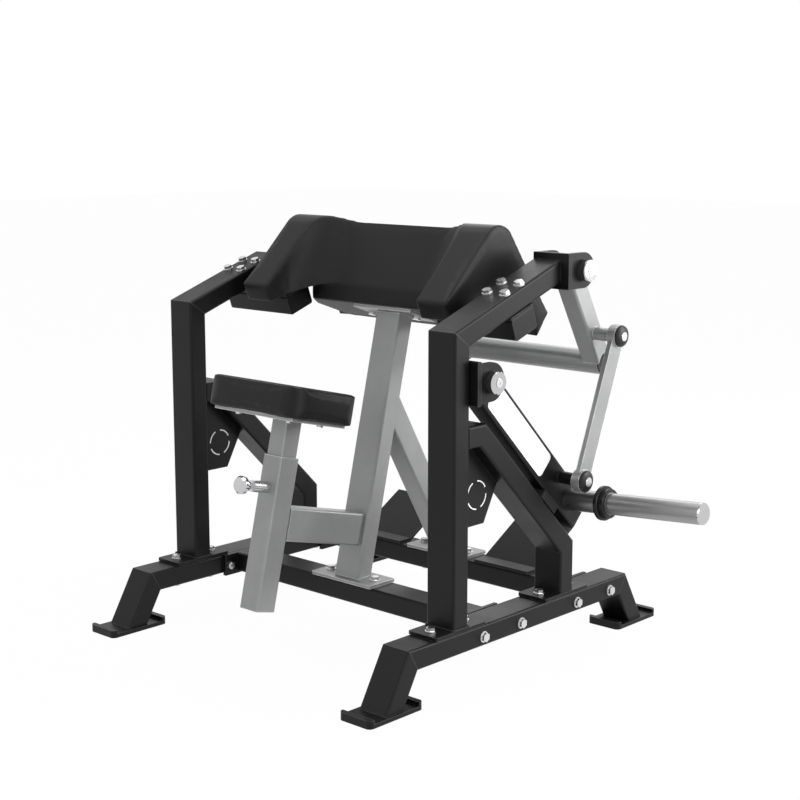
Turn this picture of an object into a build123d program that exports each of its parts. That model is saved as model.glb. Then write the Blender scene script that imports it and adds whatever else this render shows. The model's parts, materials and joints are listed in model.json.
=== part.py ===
from build123d import *
import math
import os

# A seated arm-curl machine: two welded side frames, a leaning centre post with a sliding seat, a two-lobed
# arm pad, and on the right a curl arm that lifts a plate-loaded lever through a link.
# +X is the sitter's right, +Y the way the sitter faces, +Z up. X = 0 is midway between the side frames and
# Z = 0 the floor. Pieces are drawn with Y = 0 on the front face of the side posts, and export moves them
# back so that the finished part's origin is on the floor midway between the four anchor holes.
# Millimetres and degrees.

# Overall sizes
FRAME_HALF_WIDTH = 475.0
RAIL_TOP = 137.5
RAIL_FRONT = -143.4
RAIL_LENGTH = 803.1
POST_HEIGHT = 805.8
BEAM_REACH = 368.0
LEFT_BEAM_REACH = 292.0
BEAM_RISE = 19.8

# Box tube of the frames
TUBE_WIDTH = 80.0
TUBE_DEPTH = 50.0
TUBE_WALL = 3.0
TUBE_RADIUS = 6.0
END_COVER = 3.0
LEG_ANGLE = 60.0

# Feet and base plates
FOOT_WIDTH = 93.0
FOOT_LENGTH = 168.0
FOOT_THICK = 10.0
FOOT_LIP = 8.5
FOOT_LIP_WIDTH = 14.0
FOOT_RADIUS = 12.0
ANCHOR_RADIUS = 4.5
ANCHOR_INSET = 23.0
PLATE_THICK = 8.0
BASE_PLATE = (84.0, 166.0)
BASE_BOLT_SPAN = 110.0

# Braces and gussets; the brace's top stands below the post's top and its foot before the rear beam
BRACE_DROP = 235.3
BRACE_REACH = 48.2
BRACE_STAND = 111.2
GUSSET_THICK = 8.0
GUSSET_DEPTH = 187.0
GUSSET_HEEL = 93.0
GUSSET_TOE = 101.5

# Cross beams
REAR_BEAM_INSET = 138.7
END_PLATE = (10.0, 160.0, 55.0)
BEAM_BOLT_SPAN = 135.0
BEAM_BOLT_DROP = 27.5

# Fasteners
BOLT_RADIUS = 6.0
BOLT_CLEARANCE = 0.5
HEX_FLATS = 19.0
HEAD_HEIGHT = 7.5
NUT_HEIGHT = 10.0
WASHER_RADIUS = 13.0
WASHER_THICK = 2.5
BOLT_TIP = 4.0
SMALL_BOLT_RADIUS = 4.0
SMALL_HEX_FLATS = 13.0
SMALL_HEAD_HEIGHT = 5.3

# Centre post, its diagonal and their plates
LEAN = 13.5
POST_SETBACK = 281.5
CENTER_PLATE = (200.0, 90.0)
CENTER_BOLT_SPAN = 150.0
DIAGONAL_SIZE = 60.0
DIAGONAL_ANGLE = 59.7
DIAGONAL_SETBACK = 7.4

# Seat and its sleeve, in the leaning seat frame (v backwards and down, w up the post)
SEAT_ORIGIN = (0.0, -64.2, 480.9)
SLEEVE_SIZE = 60.0
SLEEVE_WALL = 4.5
SLEEVE_LENGTH = 362.0
SEAT_TUBE_GAP = 0.5
SEAT_TUBE_EXPOSED = 87.0
SEAT_TUBE_LENGTH = 284.0
SEAT_TRAVEL = 60.0
SEAT_PITCH = 30.0
LINK_TUBE_DEPTH = 80.0
LINK_TUBE_DROP = 155.0
SEAT_PLATE = (260.0, 180.0)
SEAT_PLATE_CENTER = -26.9
SEAT_PAD = (300.0, 207.6, 70.0)
SEAT_PAD_RADIUS = 30.0
SEAT_BOLT_SPAN = (170.0, 100.0)

# Pop pin on the front of the sleeve
PIN_DROP = 75.0
BARREL_RADIUS = 13.75
BARREL_LENGTH = 50.0
NECK_RADIUS = 8.0
PLUNGER_RADIUS = 6.0
PIN_CLEARANCE = 0.06
PIN_TRAVEL = 12.0
KNOB_RADIUS = 21.0
KNOB_LENGTH = 28.0

# Footrests
FOOTREST_INNER = 130.0
FOOTREST_WIDTH = 172.0
FOOTREST_TONGUE = 43.0
FOOTREST_BEND = 3.0
FOOTREST_TREAD = 163.0
FOOTREST_RISE = 30.5

# Arm pad: y positions, and heights above the posts' tops
PAD_SIDE_GAP = 58.0
LOBE_WIDTH = 88.0
PAD_NOSE = 140.0
PAD_BROW = 120.5
PAD_BROW_RISE = 40.2
PAD_FRONT_SLOPE = 44.5
PAD_REAR_SLOPE = 54.0
PAD_RIDGE_RADIUS = 60.0
PAD_TAIL_TOP = 510.0
PAD_TAIL_TOP_DROP = 13.6
PAD_TAIL_LOW = 464.0
PAD_TAIL_LOW_DROP = 67.0
PAD_TAIL_SLOPE = 68.0
CHIN_BACK = 268.0
CHIN_INSET = 14.0
CHIN_WIDER = 44.0
CHIN_CORNER = 58.0
CHIN_BASE_RISE = 0.2
RECESS_RADIUS = 119.0
RECESS_LEAN = 30.0
BOARD_THICK = 15.0
BOARD_INSET = 6.0
BOARD_FRONT = 6.0
BOARD_LENGTH = 168.0
FLANGE = (190.0, 100.0)

# Stubs that carry the pad from the upper beams
STUB_LENGTH = 225.0
STUB_CENTER = 226.0
STUB_PAD_GAP = 7.0
STUB_BOLT_SPAN = (50.0, 53.0)

# Pivots of the curl arm, behind the beam's end, and of the lever, behind the post
ARM_PIVOT_REACH = 60.0
LEVER_PIVOT_REACH = 49.0
LEVER_PIVOT_DROP = 114.8
PIVOT_RADIUS = 12.5
PIVOT_CLEARANCE = 0.05
CHEEK_THICK = 10.0
CHEEK_GAP = 78.0
BRACKET_OFFSET = 11.0
BRACKET_PLATE = 12.0
BRACKET_WIDTH = 102.0
ARM_CHEEK_RADIUS = 41.3
LEVER_CHEEK_RADIUS = 43.5
LEVER_PLATE_HEIGHT = 97.0
CAP_RADIUS = 25.5
CAP_THICK = 21.0
SCREW_RADIUS = 10.0
SCREW_PROUD = 1.5
SCREW_SOCKET = 6.0
SIDE_GAP = 0.5

# Curl arm and handle
ARM_TUBE = 50.0
ARM_OFFSET = 10.0
ARM_DROP = 60.5
ARM_HUB_RADIUS = 30.0
ARM_LINK_REACH = 180.7
ARM_BOSS_RADIUS = 15.5
HANDLE_REACH = 268.0
HANDLE_RADIUS = 28.0
HANDLE_PAST_ARM = 18.0
HANDLE_SEAM = 87.0
HANDLE_END = -40.0
HANDLE_BEND = 8.0
GRIP_RADIUS = 32.0
GRIP_LENGTH = 80.0
GRIP_INSET = 8.0

# Lever, horn and link
LEVER_DEPTH = 80.0
LEVER_LENGTH = 517.0
LEVER_DROP = 45.0
LEVER_HUB_RADIUS = 34.0
LEVER_CAP_THICK = 9.0
LEVER_LINK_REACH = 389.9
LEVER_LINK_LIFT = 18.8
LEVER_BOSS_RADIUS = 14.5
LINK_OFFSET = 83.0
LINK_EYE_RADIUS = 27.0
LINK_EYE_THICK = 22.0
LINK_BAR = (45.0, 12.0)
LINK_PIN_RADIUS = 8.0
LINK_CAP_THICK = 9.5
LINK_BOLT_RADIUS = 11.0
LINK_BOLT_HEAD = 2.0
BOSS_GAP = 1.0
HORN_REACH = 455.6
HORN_TILT = 4.2
HORN_RADIUS = 25.0
HORN_ROOT_RADIUS = 26.0
HORN_WALL = 5.0
HORN_LENGTH = 366.0
HORN_CAP_THICK = 4.0
COLLAR_START = 96.0
COLLAR_STEPS = ((40.5, 12.0), (34.5, 13.0))
BUMPER_REACH = 395.0
BUMPER_SIZE = (60.0, 70.0)
BUMPER_GAP = 0.3
LABEL_START = 50.0
LABEL_SIZE = (275.0, 61.0)
LABEL_RADIUS = 11.0
LABEL_THICK = 0.5

# Places that follow from the sizes above
SIDE_X = FRAME_HALF_WIDTH - TUBE_WIDTH / 2
INNER_FACE = FRAME_HALF_WIDTH - TUBE_WIDTH
RAIL_CENTER = RAIL_TOP - TUBE_DEPTH / 2
RAIL_REAR = RAIL_FRONT + RAIL_LENGTH
PLATE_TOP = RAIL_TOP + PLATE_THICK
REAR_BEAM = RAIL_REAR - REAR_BEAM_INSET
BRACE_CENTER = POST_HEIGHT - BRACE_DROP
BRACE_KNEE = TUBE_DEPTH + BRACE_REACH
BRACE_BEND = PLATE_TOP + BRACE_STAND
BRACE_FOOT = BRACE_KNEE + BRACE_CENTER - BRACE_BEND
DIAGONAL_FOOT = REAR_BEAM + DIAGONAL_SETBACK
PAD_HALF_WIDTH = INNER_FACE - PAD_SIDE_GAP
RECESS_HALF_WIDTH = PAD_HALF_WIDTH - LOBE_WIDTH
CHIN_HALF_WIDTH = RECESS_HALF_WIDTH - CHIN_INSET
CHIN_BASE = POST_HEIGHT + CHIN_BASE_RISE
CHIN_BACK_HALF_WIDTH = CHIN_HALF_WIDTH + CHIN_WIDER
STUB_INNER = FRAME_HALF_WIDTH - STUB_LENGTH
CHEEK_CENTER = SIDE_X + BRACKET_OFFSET
ARM_CENTER = SIDE_X + ARM_OFFSET
HANDLE_OUTER = ARM_CENTER + HANDLE_PAST_ARM
LINK_FACE = SIDE_X + LINK_OFFSET
LEVER_PIVOT = (TUBE_DEPTH + LEVER_PIVOT_REACH, POST_HEIGHT - LEVER_PIVOT_DROP)
ACROSS = (1, 0, 0)
UP = (0, 0, 1)
BACK = (0, 1, 0)
SIDES = {"left": -1, "right": 1}


def rad(angle):
    return math.radians(angle)


def heading(angle):
    """Unit direction in the side view, angle measured from +Y towards +Z."""
    return Vector(0, math.cos(rad(angle)), math.sin(rad(angle)))


def side_point(pair, x=0.0):
    return Vector(x, pair[0], pair[1])


def side_face(points):
    """A face in the side view from (y, z) corners."""
    return Plane.YZ * make_face(Polyline(*points, close=True))


def side_slab(points, x_low, x_high):
    """A plate or block with a side-view outline, from x_low to x_high."""
    return Pos(x_low, 0, 0) * extrude(side_face(points), x_high - x_low)


def keep_side(solid, point, normal, inside):
    """The part of the solid on the same side of a plane as the point inside."""
    normal = Vector(normal)
    if (Vector(inside) - Vector(point)).dot(normal) < 0:
        normal = normal * -1
    return split(solid, bisect_by=Plane(origin=point, z_dir=normal), keep=Keep.TOP)


def box_tube(plane, length, width, depth, wall=TUBE_WALL, radius=TUBE_RADIUS):
    """Rounded box tube along the plane's normal, width along its x, depth along its y."""
    outer = RectangleRounded(width, depth, radius)
    inner = RectangleRounded(width - 2 * wall, depth - 2 * wall, radius - wall)
    return extrude(plane * (outer - inner), length)


def tube_run(points, x, end_normals, width=TUBE_WIDTH, depth=TUBE_DEPTH):
    """Mitred box tubes along a side-view centre line; the two ends are cut by the given normals."""
    path = [side_point(pair, x) for pair in points]
    headings = [(b - a).normalized() for a, b in zip(path, path[1:])]
    normals = [Vector(end_normals[0])]
    normals += [before + after for before, after in zip(headings, headings[1:])]
    normals.append(Vector(end_normals[1]))
    pieces = []
    for index, way in enumerate(headings):
        start, end = path[index], path[index + 1]
        middle = (start + end) * 0.5
        plane = Plane(origin=start - way * depth, x_dir=ACROSS, z_dir=way)
        piece = box_tube(plane, (end - start).length + 2 * depth, width, depth)
        piece = keep_side(piece, start, normals[index], middle)
        pieces.append(keep_side(piece, end, normals[index + 1], middle))
    return pieces


def disc(plane, radius, height):
    return extrude(plane * Circle(radius), height)


def turned(plane, outline):
    """A turned piece about the plane's normal, from (radius, height) corners."""
    face = Plane.XZ * make_face(Polyline(*outline, close=True))
    return plane.location * revolve(face, Axis.Z, 360)


def across_disc(x_low, x_high, pair, radius):
    """A round bar along X between two X positions, at a side-view point."""
    return disc(Plane(origin=(x_low, pair[0], pair[1]), z_dir=ACROSS), radius, x_high - x_low)


# Fasteners. A seat is a plane on the face under the head, its normal towards the head.
def hexagon(seat, flats, height, hole=0.0):
    face = RegularPolygon(flats / 2, 6, major_radius=False)
    if hole:
        face -= Circle(hole)
    return extrude(seat * face, height)


def washer(seat):
    return extrude(seat * (Circle(WASHER_RADIUS) - Circle(BOLT_RADIUS)), WASHER_THICK)


def bolt(seat, shank, under_head=WASHER_THICK):
    raised = seat.offset(under_head)
    return hexagon(raised, HEX_FLATS, HEAD_HEIGHT) + disc(raised, BOLT_RADIUS, -(shank + under_head))


def nut_seat(seat, grip):
    return Plane(origin=seat.origin - seat.z_dir * grip, z_dir=-seat.z_dir)


def nut(seat, grip):
    return hexagon(nut_seat(seat, grip), HEX_FLATS, NUT_HEIGHT, BOLT_RADIUS)


def drilled(piece, seats, depth, radius=BOLT_RADIUS + BOLT_CLEARANCE):
    for seat in seats:
        piece -= disc(seat.offset(1), radius, -(depth + 2))
    return piece


def export(name, pieces):
    """One STEP file per node; several pieces stay separate solids in it."""
    to_origin = Pos(0, -(RAIL_FRONT + RAIL_REAR) / 2, 0)
    solids = [to_origin * solid for piece in pieces for solid in piece.solids()]
    export_step(Compound(children=solids) if len(solids) > 1 else solids[0], f"parts/{name}.step")


# Places that several pieces share
SEAT_FRAME = Plane(origin=SEAT_ORIGIN, x_dir=ACROSS, z_dir=heading(90 - LEAN))


def in_seat(x, v, w):
    """A point given in the leaning seat frame."""
    return SEAT_FRAME.from_local_coords(Vector(x, v, w))


SEAT_BACK = SEAT_FRAME.y_dir
SEAT_UP = SEAT_FRAME.z_dir
POST_MIDDLE = in_seat(0, POST_SETBACK + TUBE_DEPTH / 2, 0)
POST_REAR = in_seat(0, POST_SETBACK + TUBE_DEPTH, 0)
FRONT_BEAM = POST_MIDDLE.Y - (POST_MIDDLE.Z - PLATE_TOP) * math.tan(math.radians(LEAN))


def beam_underside(y):
    """Height of the upper beams' undersides, which the pad's lobes share."""
    rise = math.radians(BEAM_RISE)
    return POST_HEIGHT + y * math.tan(rise) - TUBE_DEPTH / math.cos(rise)


def beam_middle(y):
    return beam_underside(y) + TUBE_DEPTH / 2 / math.cos(math.radians(BEAM_RISE))


ARM_PIVOT = (BEAM_REACH + ARM_PIVOT_REACH, beam_middle(BEAM_REACH))

BASE_CENTERS = (TUBE_DEPTH / 2, BRACE_FOOT)
BASE_SEATS = [
    Plane(origin=(side * SIDE_X, center + end * BASE_BOLT_SPAN / 2, PLATE_TOP), z_dir=UP)
    for side in SIDES.values()
    for center in BASE_CENTERS
    for end in (-1, 1)
]
BASE_GRIP = PLATE_THICK + TUBE_DEPTH
BEAM_SEATS = [
    Plane(
        origin=(side * FRAME_HALF_WIDTH, center + end * BEAM_BOLT_SPAN / 2, RAIL_TOP - BEAM_BOLT_DROP),
        z_dir=(side, 0, 0),
    )
    for side in SIDES.values()
    for center in (FRONT_BEAM, REAR_BEAM)
    for end in (-1, 1)
]
BEAM_GRIP = TUBE_WIDTH + END_PLATE[0]
CENTER_SEATS = [
    Plane(origin=(end * CENTER_BOLT_SPAN / 2, center, PLATE_TOP), z_dir=UP)
    for center in (FRONT_BEAM, REAR_BEAM)
    for end in (-1, 1)
]
# The board under the pad falls backwards from the chin; local y runs down it, local z into the pad.
TAIL_LOW = (PAD_TAIL_LOW, POST_HEIGHT - PAD_TAIL_LOW_DROP)
BOARD_FALL = math.degrees(math.atan2(CHIN_BASE - TAIL_LOW[1], TAIL_LOW[0] - CHIN_BACK))
BOARD_FRAME = Plane(
    origin=(0, CHIN_BACK, CHIN_BASE), x_dir=ACROSS, z_dir=heading(90 - BOARD_FALL)
)
POST_TOP_REACH = (BOARD_FRAME.origin - POST_MIDDLE).dot(BOARD_FRAME.z_dir) / SEAT_UP.dot(BOARD_FRAME.z_dir)
FLANGE_CENTER = BOARD_FRAME.to_local_coords(POST_MIDDLE + SEAT_UP * POST_TOP_REACH).Y
FLANGE_SEATS = [
    Plane(
        origin=BOARD_FRAME.from_local_coords(Vector(side * CENTER_BOLT_SPAN / 2, FLANGE_CENTER, -PLATE_THICK)),
        z_dir=-BOARD_FRAME.z_dir,
    )
    for side in SIDES.values()
]
FLANGE_BOLT_DEPTH = PLATE_THICK + BOARD_THICK

# The lobes of the pad step down just behind the stubs.
PAD_STEP = (
    STUB_CENTER
    + TUBE_WIDTH / 2 * math.cos(math.radians(BEAM_RISE))
    + (PLATE_THICK + TUBE_DEPTH) * math.sin(math.radians(BEAM_RISE))
    + STUB_PAD_GAP
)

# The beams' frame: local y up the beam, local z square to its top face, origin on the top front edge
BEAM_FRAME = Plane(origin=(0, 0, POST_HEIGHT), x_dir=ACROSS, z_dir=heading(90 + BEAM_RISE))
STUB_ALONG = STUB_CENTER / math.cos(rad(BEAM_RISE)) - TUBE_DEPTH * math.tan(rad(BEAM_RISE))
STUB_SEATS = [
    Plane(
        origin=BEAM_FRAME.from_local_coords(
            Vector(side * SIDE_X + x * STUB_BOLT_SPAN[0] / 2, STUB_ALONG + y * STUB_BOLT_SPAN[1] / 2, 0)
        ),
        z_dir=BEAM_FRAME.z_dir,
    )
    for side in SIDES.values()
    for x in (-1, 1)
    for y in (-1, 1)
]
STUB_GRIP = TUBE_DEPTH + PLATE_THICK


def side_frame(side):
    """Rail with legs, post with upper beam, and the brace, as lists of mitred tubes."""
    x = side * SIDE_X
    mitre = TUBE_DEPTH / 2 * math.tan(rad(LEG_ANGLE / 2))
    splay = (RAIL_CENTER - FOOT_THICK) / math.tan(rad(LEG_ANGLE))
    front, rear = RAIL_FRONT + mitre, RAIL_REAR - mitre
    rail = [(front - splay, FOOT_THICK), (front, RAIL_CENTER), (rear, RAIL_CENTER), (rear + splay, FOOT_THICK)]
    rise = math.tan(rad(BEAM_RISE))
    knee = (TUBE_DEPTH / 2, POST_HEIGHT - TUBE_DEPTH / 2 * math.tan(rad(45 - BEAM_RISE / 2)))
    reach = BEAM_REACH if side > 0 else LEFT_BEAM_REACH
    beam_end = (reach, knee[1] + (reach - knee[0]) * rise)
    post = [(TUBE_DEPTH / 2, PLATE_TOP), knee, beam_end]
    brace = [
        (TUBE_DEPTH, BRACE_CENTER),
        (BRACE_KNEE, BRACE_CENTER),
        (BRACE_FOOT, BRACE_BEND),
        (BRACE_FOOT, PLATE_TOP),
    ]
    return tube_run(rail, x, (UP, UP)), tube_run(post, x, (UP, BACK)), tube_run(brace, x, (BACK, UP))


def foot(side, end):
    """Foot plate with a raised lip along both short edges; end is -1 at the front and 1 at the rear."""
    mitre = TUBE_DEPTH / 2 * math.tan(rad(LEG_ANGLE / 2))
    splay = (RAIL_CENTER - FOOT_THICK) / math.tan(rad(LEG_ANGLE))
    center = RAIL_FRONT + mitre - splay if end < 0 else RAIL_REAR - mitre + splay
    plane = Plane(origin=(side * SIDE_X, center, 0), x_dir=ACROSS, z_dir=UP)
    outline = RectangleRounded(FOOT_WIDTH, FOOT_LENGTH, FOOT_RADIUS)
    plate = extrude(plane * outline, FOOT_THICK)
    raised = extrude(plane * outline, FOOT_THICK + FOOT_LIP)
    floor = Box(FOOT_WIDTH, FOOT_LENGTH - 2 * FOOT_LIP_WIDTH, 2 * (FOOT_THICK + FOOT_LIP))
    lips = raised - plane.location * floor
    hole = plane.location * Pos(0, end * (FOOT_LENGTH / 2 - ANCHOR_INSET), 0) * Cylinder(ANCHOR_RADIUS, 60)
    return plate + lips - hole


def gusset(side):
    """Flat web between the post and the underside of the brace."""
    under = BRACE_CENTER - TUBE_DEPTH / 2
    knee = BRACE_KNEE - TUBE_DEPTH / 2 * math.tan(rad(22.5))
    low, heel = under - GUSSET_DEPTH, TUBE_DEPTH + GUSSET_HEEL
    outline = [
        (TUBE_DEPTH, low),
        (heel, low),
        (knee + GUSSET_TOE, under - GUSSET_TOE),
        (knee, under),
        (TUBE_DEPTH, under),
    ]
    x_low = side * SIDE_X - GUSSET_THICK / 2
    return side_slab(outline, x_low, x_low + GUSSET_THICK)


def plate(center, size, thickness=PLATE_THICK, radius=4.0):
    plane = Plane(origin=center, x_dir=ACROSS, z_dir=UP)
    return extrude(plane * RectangleRounded(size[0], size[1], radius), thickness)


def cross_beam(center):
    plane = Plane(origin=(-INNER_FACE + END_PLATE[0], center, RAIL_CENTER), x_dir=BACK, z_dir=ACROSS)
    return box_tube(plane, 2 * (INNER_FACE - END_PLATE[0]), TUBE_WIDTH, TUBE_DEPTH)


def end_plate(side, center):
    low = RAIL_TOP - END_PLATE[2]
    x_low = side * (INNER_FACE - END_PLATE[0] / 2) - END_PLATE[0] / 2
    middle = low + END_PLATE[2] / 2
    return Pos(x_low + END_PLATE[0] / 2, center, middle) * Box(*END_PLATE)


def center_post():
    """Leaning tube between the front beam's plate and the flange under the pad."""
    start = POST_MIDDLE - SEAT_UP * POST_HEIGHT
    tube = box_tube(Plane(origin=start, x_dir=ACROSS, z_dir=SEAT_UP), 2 * POST_HEIGHT, TUBE_WIDTH, TUBE_DEPTH)
    tube = keep_side(tube, (0, 0, PLATE_TOP), UP, POST_MIDDLE)
    return keep_side(tube, BOARD_FRAME.offset(-PLATE_THICK).origin, BOARD_FRAME.z_dir, POST_MIDDLE)


def diagonal():
    way = heading(180 - DIAGONAL_ANGLE)
    foot_point = Vector(0, DIAGONAL_FOOT, PLATE_TOP)
    plane = Plane(origin=foot_point - way * DIAGONAL_SIZE, x_dir=ACROSS, z_dir=way)
    tube = box_tube(plane, POST_HEIGHT, DIAGONAL_SIZE, DIAGONAL_SIZE)
    middle = foot_point + way * DIAGONAL_SIZE
    tube = keep_side(tube, foot_point, UP, middle)
    return keep_side(tube, POST_REAR, SEAT_BACK, middle)


def seat_sleeve():
    plane = Plane(origin=in_seat(0, 0, -SLEEVE_LENGTH), x_dir=ACROSS, z_dir=SEAT_UP)
    tube = box_tube(plane, SLEEVE_LENGTH, SLEEVE_SIZE, SLEEVE_SIZE, wall=SLEEVE_WALL)
    return tube - disc(pin_plane(), PLUNGER_RADIUS + PIN_CLEARANCE, -SLEEVE_WALL - 1)


def seat_link_tube():
    plane = Plane(origin=in_seat(0, SLEEVE_SIZE / 2, -LINK_TUBE_DROP), x_dir=ACROSS, z_dir=SEAT_BACK)
    return box_tube(plane, POST_SETBACK - SLEEVE_SIZE / 2, SLEEVE_SIZE, LINK_TUBE_DEPTH)


def seat_tube():
    """Inner seat tube, with a row of pin holes in its front wall."""
    size = SLEEVE_SIZE - 2 * SLEEVE_WALL - 2 * SEAT_TUBE_GAP
    low = SEAT_TUBE_EXPOSED - SEAT_TUBE_LENGTH
    plane = Plane(origin=in_seat(0, 0, low), x_dir=ACROSS, z_dir=SEAT_UP)
    tube = box_tube(plane, SEAT_TUBE_LENGTH, size, size, radius=4.0)
    count = round(SEAT_TRAVEL / SEAT_PITCH)
    for step in range(-count, count + 1):
        hole = Plane(origin=in_seat(0, -size, -PIN_DROP + step * SEAT_PITCH), z_dir=SEAT_BACK)
        tube -= disc(hole, PLUNGER_RADIUS + BOLT_CLEARANCE, size)
    return tube


def seat_plate_plane(w):
    return Plane(origin=in_seat(0, SEAT_PLATE_CENTER, w), x_dir=ACROSS, z_dir=SEAT_UP)


def seat_seats():
    under = seat_plate_plane(SEAT_TUBE_EXPOSED)
    return [
        Plane(
            origin=under.from_local_coords(Vector(x * SEAT_BOLT_SPAN[0] / 2, y * SEAT_BOLT_SPAN[1] / 2, 0)),
            z_dir=-SEAT_UP,
        )
        for x in (-1, 1)
        for y in (-1, 1)
    ]


def seat_bolt(seat):
    head = hexagon(seat, SMALL_HEX_FLATS, SMALL_HEAD_HEIGHT)
    return head + disc(seat, SMALL_BOLT_RADIUS, -PLATE_THICK)


def pin_plane():
    """On the sleeve's front face at the pop pin, its normal towards the sitter."""
    return Plane(origin=in_seat(0, -SLEEVE_SIZE / 2, -PIN_DROP), z_dir=-SEAT_BACK)


def pin_barrel():
    """Threaded collar with a wide bore for the knob's neck and a narrow one for the plunger."""
    plane = pin_plane()
    nose = extrude(plane * (Circle(BARREL_RADIUS) - Circle(PLUNGER_RADIUS + PIN_CLEARANCE)), BARREL_LENGTH / 2)
    bore = Circle(BARREL_RADIUS) - Circle(NECK_RADIUS + PIN_CLEARANCE)
    return nose + extrude(plane.offset(BARREL_LENGTH / 2) * bore, BARREL_LENGTH / 2)


def pin_knob():
    """Plunger, neck and mushroom head in one turned piece, drawn fully out."""
    neck = BARREL_LENGTH / 2 + PIN_TRAVEL + 1
    head = BARREL_LENGTH + PIN_TRAVEL + 0.5
    top = head + KNOB_LENGTH
    outline = [
        (0, -SLEEVE_WALL),
        (PLUNGER_RADIUS, -SLEEVE_WALL),
        (PLUNGER_RADIUS, neck),
        (NECK_RADIUS, neck),
        (NECK_RADIUS, head),
        (KNOB_RADIUS * 0.6, head),
        (KNOB_RADIUS * 0.72, head + KNOB_LENGTH * 0.35),
        (KNOB_RADIUS, head + KNOB_LENGTH * 0.5),
        (KNOB_RADIUS, top - KNOB_LENGTH * 0.22),
        (KNOB_RADIUS * 0.8, top),
        (0, top),
    ]
    return turned(pin_plane(), outline)


def footrest(side):
    """Bent tread plate on the rear cross beam, rising away from the sitter."""
    half = rad(FOOTREST_RISE) / 2
    bend = REAR_BEAM + FOOTREST_BEND
    start = (bend - FOOTREST_TONGUE, PLATE_TOP)
    tip = heading(FOOTREST_RISE) * FOOTREST_TREAD
    end = (bend + tip.Y, PLATE_TOP + tip.Z)
    down = (math.sin(2 * half) * PLATE_THICK, -math.cos(2 * half) * PLATE_THICK)
    outline = [
        start,
        (bend, PLATE_TOP),
        end,
        (end[0] + down[0], end[1] + down[1]),
        (bend + PLATE_THICK * math.tan(half), RAIL_TOP),
        (start[0], RAIL_TOP),
    ]
    x_low = FOOTREST_INNER if side > 0 else -FOOTREST_INNER - FOOTREST_WIDTH
    return side_slab(outline, x_low, x_low + FOOTREST_WIDTH)


# Arm pad
def board_underside(y):
    return CHIN_BASE - (y - CHIN_BACK) * math.tan(rad(BOARD_FALL))


def lobe_outline():
    """Side view of a pad lobe, with a round ridge and a tail that hangs behind the stub."""
    front, rear = math.tan(rad(PAD_FRONT_SLOPE)), math.tan(rad(PAD_REAR_SLOPE))
    brow = (PAD_BROW, POST_HEIGHT + PAD_BROW_RISE)
    tail_top = (PAD_TAIL_TOP, POST_HEIGHT - PAD_TAIL_TOP_DROP)
    apex_y = (tail_top[1] - brow[1] + tail_top[0] * rear + brow[0] * front) / (rear + front)
    apex = (apex_y, brow[1] + (apex_y - brow[0]) * front)
    hollow = beam_underside(PAD_STEP)
    hollow_back = PAD_TAIL_LOW - (hollow - TAIL_LOW[1]) / math.tan(rad(PAD_TAIL_SLOPE))
    nose = (PAD_NOSE, beam_underside(PAD_NOSE))
    corners = [brow, apex, tail_top, TAIL_LOW, (hollow_back, hollow), (PAD_STEP, hollow), nose]
    face = make_face(Polyline(*corners, close=True))
    return fillet(face.vertices().sort_by(Axis.Y)[-1], PAD_RIDGE_RADIUS)


def chin_plan(inset=0.0):
    """Plan of the pad's middle, with its front corners cut off, as (x, y) corners."""
    front, wide = CHIN_HALF_WIDTH - inset, CHIN_BACK_HALF_WIDTH - inset
    corner = CHIN_BACK + CHIN_CORNER
    half = [(front, CHIN_BACK), (wide, corner), (wide, PAD_TAIL_TOP)]
    return half + [(-x, y) for x, y in reversed(half)]


def plan_prism(points, z_low, z_high):
    return Pos(0, 0, z_low) * extrude(make_face(Polyline(*points, close=True)), z_high - z_low)


def preacher_pad():
    """Two lobes and a low middle behind a chest recess; a pocket underneath holds the board."""
    lobes = extrude(Plane.YZ * lobe_outline(), PAD_HALF_WIDTH, both=True)
    top = beam_underside(CHIN_BACK) + BOARD_THICK
    rear = PAD_TAIL_LOW + (TAIL_LOW[1] - top) / math.tan(rad(PAD_TAIL_SLOPE)) + BOARD_THICK
    chin = [(CHIN_BACK, CHIN_BASE), (CHIN_BACK, top), (rear, top), TAIL_LOW]
    middle = side_slab(chin, -PAD_HALF_WIDTH, PAD_HALF_WIDTH)
    body = lobes + (middle & plan_prism(chin_plan(), TAIL_LOW[1] - 1, top + 1))
    depth = CHIN_BACK + POST_HEIGHT
    bowl = Pos(0, CHIN_BACK - depth / 2, 0) * Rectangle(2 * RECESS_HALF_WIDTH, depth)
    bowl = fillet(bowl.vertices().group_by(Axis.Y)[-1], RECESS_RADIUS)
    lean = Vector(0, math.tan(rad(RECESS_LEAN)), 1)
    height = beam_underside(CHIN_BACK)
    start = Pos(0, -lean.Y * CHIN_BACK, height - CHIN_BACK)
    recess = extrude(start * bowl, 3 * CHIN_BACK * lean.length, dir=lean.normalized())
    return body - recess - board()


def board():
    """Backing board let into the underside of the pad."""
    block = Box(
        2 * PAD_HALF_WIDTH, BOARD_LENGTH, BOARD_THICK, align=(Align.CENTER, Align.MIN, Align.MIN)
    )
    slab = BOARD_FRAME.location * Pos(0, BOARD_FRONT, 0) * block
    return slab & plan_prism(chin_plan(BOARD_INSET), 0, 2 * POST_HEIGHT)


def flange():
    block = Box(*FLANGE, PLATE_THICK, align=(Align.CENTER, Align.CENTER, Align.MAX))
    return BOARD_FRAME.location * Pos(0, FLANGE_CENTER, 0) * block


def flange_bolt(seat):
    return hexagon(seat, HEX_FLATS, HEAD_HEIGHT) + disc(seat, BOLT_RADIUS, -FLANGE_BOLT_DEPTH)


def stub_frame(side):
    """On the beam's underside above the stub, local y up the beam and local z square to it."""
    origin = BEAM_FRAME.from_local_coords(Vector(side * SIDE_X, STUB_ALONG, -TUBE_DEPTH))
    return Plane(origin=origin, x_dir=ACROSS, z_dir=BEAM_FRAME.z_dir)


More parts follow.
